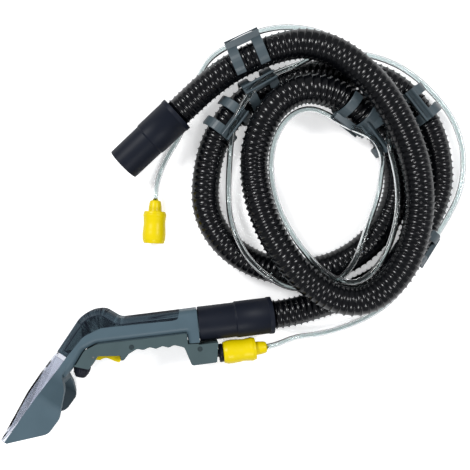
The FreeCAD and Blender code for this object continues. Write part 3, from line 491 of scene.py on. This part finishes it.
class HoseSizes(bpy.types.PropertyGroup):
    """Sizes of the ribbed suction hose."""

    crest_radius: bpy.props.FloatProperty(
        name="Crest radius", description="Radius over the hose's ribs", default=0.0199,
        unit="LENGTH", precision=4)
    root_radius: bpy.props.FloatProperty(
        name="Root radius", description="Radius between the hose's ribs", default=0.0179,
        unit="LENGTH", precision=4)
    bore_radius: bpy.props.FloatProperty(
        name="Bore radius", description="Radius of the way through the hose", default=0.0150,
        unit="LENGTH", precision=4)
    rib_pitch: bpy.props.FloatProperty(
        name="Rib pitch", description="Distance from one rib to the next", default=0.0079,
        unit="LENGTH", precision=4)


class ClipSizes(bpy.types.PropertyGroup):
    """Sizes of the clips that hold the liquid tube to the hose."""

    length: bpy.props.FloatProperty(
        name="Length", description="Length of a clip along the hose", default=0.046,
        unit="LENGTH", precision=4)
    arm_width: bpy.props.FloatProperty(
        name="Arm width", description="Width of each arm along the hose", default=0.013,
        unit="LENGTH", precision=4)
    arm_inside: bpy.props.FloatProperty(
        name="Arm inside radius", description="Inside radius of the arms", default=0.0222,
        unit="LENGTH", precision=4)
    arm_outside: bpy.props.FloatProperty(
        name="Arm outside radius", description="Outside radius of the arms", default=0.0249,
        unit="LENGTH", precision=4)
    arm_reach: bpy.props.FloatProperty(
        name="Arm reach", description="Angle from the bar to an arm's tip", default=103.0)
    bar_width: bpy.props.FloatProperty(
        name="Bar width", description="Width of the bar over the tube", default=0.012,
        unit="LENGTH", precision=4)
    bar_top: bpy.props.FloatProperty(
        name="Bar top", description="Height of the bar over the hose's middle line", default=0.0319,
        unit="LENGTH", precision=4)
    channel: bpy.props.FloatProperty(
        name="Channel radius", description="Radius of the channel that grips the tube", default=0.0044,
        unit="LENGTH", precision=4)


class HOSESET_OT_finishes(bpy.types.Operator):
    """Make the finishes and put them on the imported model's pieces"""

    bl_idname = "hoseset.finishes"
    bl_label = "Finishes"

    def execute(self, context):
        make_finishes()
        for node, finish in NODE_FINISH.items():
            piece = frame["nodes"][node]
            for place in piece.material_slots:
                place.material = FINISH[finish]
        return {"FINISHED"}


class HOSESET_OT_hose(bpy.types.Operator):
    """Build the ribbed suction hose along its route"""

    bl_idname = "hoseset.hose"
    bl_label = "Suction Hose"

    def execute(self, context):
        sizes = context.scene.hoseset_hose
        crest, root = sizes.crest_radius, sizes.root_radius
        count = round(HOSE.length / sizes.rib_pitch)
        pitch = HOSE.length / count
        rib = [(0.0, root), (0.3, root + 0.0002), (0.42, root + 0.45 * (crest - root)), (0.5, crest),
               (0.58, root + 0.45 * (crest - root)), (0.7, root + 0.0002)]
        radii = [((index + part) * pitch, radius) for index in range(count) for part, radius in rib]
        radii.append((HOSE.length, root))
        outside = tube_rings(HOSE, radii, HOSE_SIDES)
        inner = [(step * BORE_STEP, sizes.bore_radius) for step in range(int(HOSE.length / BORE_STEP))]
        inner.append((HOSE.length, sizes.bore_radius))
        inside = tube_rings(HOSE, inner, HOSE_SIDES)
        mesh = mesh_of_rings("suction_hose_ribbed", outside + list(reversed(inside)), looped=True)
        hose = object_of("ribbed_suction_hose", mesh, FINISH["hose"], "hand_tool")
        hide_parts("suction_hose")
        path = [HOSE.at(distance)[0] for distance, _ in radii[::2]]
        return {"FINISHED"}


class HOSESET_OT_tube(bpy.types.Operator):
    """Build the clear liquid tube beside the hose"""

    bl_idname = "hoseset.tube"
    bl_label = "Liquid Tube"

    def execute(self, context):
        count = int(TUBE.length / TUBE_STEP)
        places = [TUBE.length * step / count for step in range(count + 1)]
        outside = tube_rings(TUBE, [(place, TUBE_OUTSIDE) for place in places], TUBE_SIDES)
        inside = tube_rings(TUBE, [(place, TUBE_BORE) for place in places], TUBE_SIDES)
        mesh = mesh_of_rings("liquid_tube_wall", outside + list(reversed(inside)), looped=True)
        tube = object_of("clear_liquid_tube", mesh, FINISH["tube"], "hand_tool")
        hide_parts("liquid_tube")
        path = [TUBE.at(place)[0] for place in places]
        return {"FINISHED"}


def clip_arm_outline(sizes, steps=22):
    """Outline of one arm round the hose, thin at its root and with a round bead at both tips."""
    inner, outer, reach = sizes.arm_inside, sizes.arm_outside, math.radians(sizes.arm_reach)
    middle, bead = (inner + outer) / 2, (outer - inner) / 2
    outline = []
    for step in range(steps + 1):
        turn = math.pi / 2 - reach + 2 * reach * step / steps
        outline.append((outer * math.cos(turn), outer * math.sin(turn)))
    for end, start in ((1, math.pi / 2 + reach), (-1, math.pi / 2 - reach)):
        tip = (middle * math.cos(start), middle * math.sin(start))
        for step in range(1, 6):
            swing = start + end * math.pi * step / 6 if end > 0 else start + math.pi + math.pi * step / 6
            outline.append((tip[0] + bead * math.cos(swing), tip[1] + bead * math.sin(swing)))
        if end > 0:
            for step in range(steps + 1):
                turn = math.pi / 2 + reach - 2 * reach * step / steps
                outline.append((inner * math.cos(turn), inner * math.sin(turn)))
    return outline


def clip_bar_outline(sizes):
    """Outline of the bar with its snap channel for the tube."""
    half, low, top = sizes.bar_width / 2, sizes.arm_inside + 0.0002, sizes.bar_top
    reach, lip = sizes.channel, 0.0032
    first = math.asin(lip / reach)
    outline = [(-half, low), (half, low), (half, top - 0.0006), (half - 0.0006, top), (lip + 0.0012, top)]
    for step in range(15):
        turn = math.pi / 2 - first - (2 * math.pi - 2 * first) * step / 14
        outline.append((reach * math.cos(turn), RIDE + reach * math.sin(turn)))
    return outline + [(-lip - 0.0012, top), (-half + 0.0006, top), (-half, top - 0.0006)]


def drawn_out(bm, outline, start, end, matrix, edge=0.0005):
    """Adds an outline drawn along the matrix's Z from start to end, its end faces slightly drawn in."""
    count = len(outline)
    centre = Vector((sum(point[0] for point in outline) / count, sum(point[1] for point in outline) / count))
    rings = []
    for along, inset in ((start, edge), (start + edge, 0.0), (end - edge, 0.0), (end, edge)):
        ring = []
        for index, point in enumerate(outline):
            ahead = Vector(outline[(index + 1) % count])
            back = Vector(outline[index - 1])
            run = (ahead - back).normalized()
            side = Vector((run.y, -run.x))
            place = Vector(point) - side * inset * (1 if turns_left(outline) else -1)
            ring.append(bm.verts.new(matrix @ Vector((place.x, place.y, along))))
        rings.append(ring)
    for one, other in zip(rings, rings[1:]):
        for side in range(count):
            ahead = (side + 1) % count
            bm.faces.new((one[side], one[ahead], other[ahead], other[side]))
    bm.faces.new(list(reversed(rings[0])))
    bm.faces.new(rings[-1])


def turns_left(outline):
    pairs = zip(outline, outline[1:] + outline[:1])
    return sum(one[0] * other[1] - other[0] * one[1] for one, other in pairs) > 0


def clip_matrix(distance, degrees):
    """Frame of a clip: X across the bar, Y out through it and Z along the hose."""
    point, way, outward, up = HOSE.frame(distance)
    angle = math.radians(degrees)
    radial = outward * math.cos(angle) + up * math.sin(angle)
    matrix = Matrix((radial.cross(way), radial, way)).transposed().to_4x4()
    matrix.translation = point
    return matrix


class HOSESET_OT_clips(bpy.types.Operator):
    """Build the snap clips that hold the tube to the hose"""

    bl_idname = "hoseset.clips"
    bl_label = "Hose Clips"

    def execute(self, context):
        sizes = context.scene.hoseset_clips
        half = sizes.length / 2
        bm = bmesh.new()
        for distance, degrees in CLIPS:
            matrix = clip_matrix(distance, degrees)
            arm = clip_arm_outline(sizes)
            drawn_out(bm, arm, -half, -half + sizes.arm_width, matrix)
            drawn_out(bm, arm, half - sizes.arm_width, half, matrix)
            drawn_out(bm, clip_bar_outline(sizes), -half, half, matrix)
        bmesh.ops.recalc_face_normals(bm, faces=bm.faces)
        mesh = bpy.data.meshes.new("hose_clips_moulded")
        bm.to_mesh(mesh)
        bm.free()
        clips = object_of("snap_clips", mesh, FINISH["clip"], "hand_tool", smooth=False)
        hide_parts("hose_clips")
        return {"FINISHED"}


def eased(stations, steps=5):
    """Profile points that ease from one (distance, radius) station to the next."""
    points = [stations[0]]
    for (x, r), (next_x, next_r) in zip(stations, stations[1:]):
        for step in range(1, steps + 1):
            part = step / steps
            points.append((x + (next_x - x) * part, r + (next_r - r) * (1 - math.cos(math.pi * part)) / 2))
    return points


SLEEVE_OUTSIDE = [
    (0.0000, 0.0131), (0.0012, 0.0140), (0.0060, 0.0152), (0.0120, 0.0155), (0.0180, 0.0151),
    (0.0270, 0.0144),
    (0.0345, 0.0150), (0.0375, 0.0155), (0.0390, 0.0155), (0.0405, 0.0148), (0.0430, 0.0143),
]
NECK_OUTSIDE = [(0.0422, 0.0092), (0.0440, 0.0089), (0.0490, 0.0086), (0.0540, 0.0080), (0.0568, 0.0073),
    (0.0580, 0.0062)]
CUFF_CORNERS = [
    (0.0000, 0.0204, 0.0003), (0.0000, 0.0247, 0.0009), (0.0060, 0.0247, 0.0006), (0.0062, 0.0240, 0.0),
    (0.0490, 0.0240, 0.0012), (0.0510, 0.0228, 0.0008), (0.0990, 0.0228, 0.0012), (0.0990, 0.0190, 0.0008),
    (0.0436, 0.0190, 0.0002), (0.0436, 0.02105, 0.0002), (0.0030, 0.02105, 0.0002), (0.0030, 0.0204, 0.0002),
]


class HOSESET_OT_cuffs(bpy.types.Operator):
    """Build the two-step cuffs on both ends of the hose"""

    bl_idname = "hoseset.cuffs"
    bl_label = "Cuffs"

    def execute(self, context):
        for name, matrix in (("tool_cuff", TOOL_CUFF), ("machine_cuff", MACHINE_CUFF)):
            mesh = lathe(name + "_turned", rounded_profile(CUFF_CORNERS), matrix, sides=120)
            cuff = object_of(name + "_moulded", mesh, FINISH["cuff"], name)
            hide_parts(name)
        return {"FINISHED"}


class HOSESET_OT_couplers(bpy.types.Operator):
    """Build the waisted sleeves and tapered necks of the quick couplers"""

    bl_idname = "hoseset.couplers"
    bl_label = "Quick Couplers"

    def execute(self, context):
        for name, matrix in (("tool_coupler", TOOL_COUPLER), ("machine_coupler", MACHINE_COUPLER)):
            inside = [(0.0430, 0.0136), (0.0120, 0.0136), (0.0120, 0.0111), (0.0000, 0.0111)]
            mesh = lathe(name + "_sleeve_turned", eased(SLEEVE_OUTSIDE) + inside, matrix)
            sleeve = object_of(name + "_sleeve_moulded", mesh, FINISH["coupler"], name + "_sleeve")
            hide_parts(name + "_sleeve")
            front = [(0.0005, 0.0046), (0.0005, 0.0106), (0.0009, 0.0110), (0.0340, 0.0110),
                (0.0340, 0.0134), (0.0420, 0.0134)]
            back = [(0.0580, 0.0025), (0.0188, 0.0025), (0.0172, 0.0046)]
            mesh = lathe(name + "_core_turned", front + eased(NECK_OUTSIDE, 3) + back, matrix, sides=72)
            core = object_of(name + "_core_moulded", mesh, FINISH["coupler"], "hand_tool")
            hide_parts(name + "_core")
        ring = [(-0.0056, 0.0077), (-0.0056, 0.0116), (-0.0050, 0.0121), (-0.0012, 0.0121),
            (-0.0006, 0.0116), (-0.0006, 0.0077)]
        mesh = lathe("inlet_flange_turned", ring, TOOL_COUPLER, sides=72)
        object_of("inlet_flange", mesh, FINISH["black"], "hand_tool")
        return {"FINISHED"}


class HOSESET_OT_nut(bpy.types.Operator):
    """Build the ribbed, tapered nut of the spray nozzle"""

    bl_idname = "hoseset.nut"
    bl_label = "Spray Nut"

    def execute(self, context):
        def ribs(along, radius, turn):
            if radius < 0.006 or along < 0.0015 or along > 0.0125:
                return 0.0
            return -0.00035 * (0.5 + 0.5 * math.cos(24 * turn)) ** 2

        outside = [(0.0004, 0.0102), (0.0010, 0.0108), (0.0045, 0.0107), (0.0090, 0.0096),
            (0.0130, 0.0074), (0.0148, 0.0060)]
        inside = [(0.0148, 0.0050), (0.0118, 0.0050), (0.0110, 0.00415), (0.0004, 0.00415)]
        mesh = lathe("spray_nut_turned", eased(outside, 4) + inside, NOZZLE, sides=168, ripple=ribs)
        nut = object_of("spray_nut_ribbed", mesh, FINISH["black"], "spray_nut")
        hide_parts("spray_nut")
        return {"FINISHED"}


class HOSESET_OT_stage(bpy.types.Operator):
    """Set up the floor, the lamps and the camera"""

    bl_idname = "hoseset.stage"
    bl_label = "Stage"

    def execute(self, context):
        scene = context.scene
        mesh = bpy.data.meshes.new("floor")
        reach = 6.0
        mesh.from_pydata([(-reach, -reach, 0), (reach, -reach, 0), (reach, reach, 0), (-reach, reach, 0)],
            [], [(0, 1, 2, 3)])
        floor = bpy.data.objects.new("floor", mesh)
        scene.collection.objects.link(floor)
        material = bpy.data.materials.new("floor_white")
        material.use_nodes = True
        nodes = material.node_tree.nodes
        links = material.node_tree.links
        shader = nodes["Principled BSDF"]
        shader.inputs["Base Color"].default_value = (0.9, 0.9, 0.9, 1)
        shader.inputs["Roughness"].default_value = 0.9
        glow = nodes.new("ShaderNodeEmission")
        glow.inputs["Strength"].default_value = 0.45
        path = nodes.new("ShaderNodeLightPath")
        seen = nodes.new("ShaderNodeMath")
        seen.operation = "MAXIMUM"
        links.new(path.outputs["Is Camera Ray"], seen.inputs[0])
        links.new(path.outputs["Is Transmission Ray"], seen.inputs[1])
        both = nodes.new("ShaderNodeAddShader")
        dark = nodes.new("ShaderNodeMixShader")
        links.new(seen.outputs["Value"], dark.inputs["Fac"])
        links.new(shader.outputs["BSDF"], dark.inputs[1])
        links.new(shader.outputs["BSDF"], both.inputs[0])
        links.new(glow.outputs["Emission"], both.inputs[1])
        links.new(both.outputs["Shader"], dark.inputs[2])
        links.new(dark.outputs["Shader"], nodes["Material Output"].inputs["Surface"])
        mesh.materials.append(material)
        world = bpy.data.worlds.new("studio")
        world.use_nodes = True
        world.node_tree.nodes["Background"].inputs["Color"].default_value = (0.93, 0.95, 1.0, 1)
        world.node_tree.nodes["Background"].inputs["Strength"].default_value = 0.36
        scene.world = world
        for name, place, size, power in (
            ("lamp_left", (-0.9, 0.9, 1.5), 0.5, 24.0),
            ("lamp_right", (1.3, 0.5, 1.4), 0.45, 13.0),
            ("lamp_near", (0.2, -1.1, 1.3), 0.4, 10.0),
        ):
            light = bpy.data.lights.new(name, "AREA")
            light.energy = power
            light.size = size
            lamp = bpy.data.objects.new(name, light)
            lamp.location = place
            aim = Vector((0.12, 0.17, 0.03)) - Vector(place)
            lamp.rotation_euler = aim.to_track_quat("-Z", "Y").to_euler()
            scene.collection.objects.link(lamp)
        camera = bpy.data.cameras.new("camera")
        camera.lens = CAMERA_LENS_MM
        camera.sensor_width = SENSOR_MM
        camera.clip_end = 20
        eye = bpy.data.objects.new("camera", camera)
        eye.location = CAMERA_PLACE
        scene.collection.objects.link(eye)
        scene.camera = eye
        scene.view_settings.view_transform = "Standard"
        return {"FINISHED"}


class HOSESET_PT_panel(bpy.types.Panel):
    """Lists the set's pieces and sizes"""

    bl_label = "Hose Set"
    bl_idname = "HOSESET_PT_panel"
    bl_space_type = "VIEW_3D"
    bl_region_type = "UI"
    bl_category = "Hose Set"

    def draw(self, context):
        for operator in OPERATORS:
            self.layout.operator(operator.bl_idname)
        for name in ("crest_radius", "root_radius", "bore_radius", "rib_pitch"):
            self.layout.prop(context.scene.hoseset_hose, name)
        for name in ("length", "arm_width", "arm_inside", "arm_outside", "arm_reach", "bar_width",
            "bar_top", "channel"):
            self.layout.prop(context.scene.hoseset_clips, name)


OPERATORS = [
    HOSESET_OT_finishes, HOSESET_OT_hose, HOSESET_OT_tube, HOSESET_OT_clips, HOSESET_OT_cuffs,
    HOSESET_OT_couplers,
    HOSESET_OT_nut, HOSESET_OT_stage,
]
CLASSES = [HoseSizes, ClipSizes] + OPERATORS + [HOSESET_PT_panel]


def register():
    for kind in CLASSES:
        bpy.utils.register_class(kind)
    bpy.types.Scene.hoseset_hose = bpy.props.PointerProperty(type=HoseSizes)
    bpy.types.Scene.hoseset_clips = bpy.props.PointerProperty(type=ClipSizes)


def unregister():
    del bpy.types.Scene.hoseset_clips
    del bpy.types.Scene.hoseset_hose
    for kind in reversed(CLASSES):
        bpy.utils.unregister_class(kind)


def main():
    register()
    for operator in OPERATORS:
        family, name = operator.bl_idname.split(".")
        getattr(getattr(bpy.ops, family), name)()


if __name__ == "__main__":
    main()
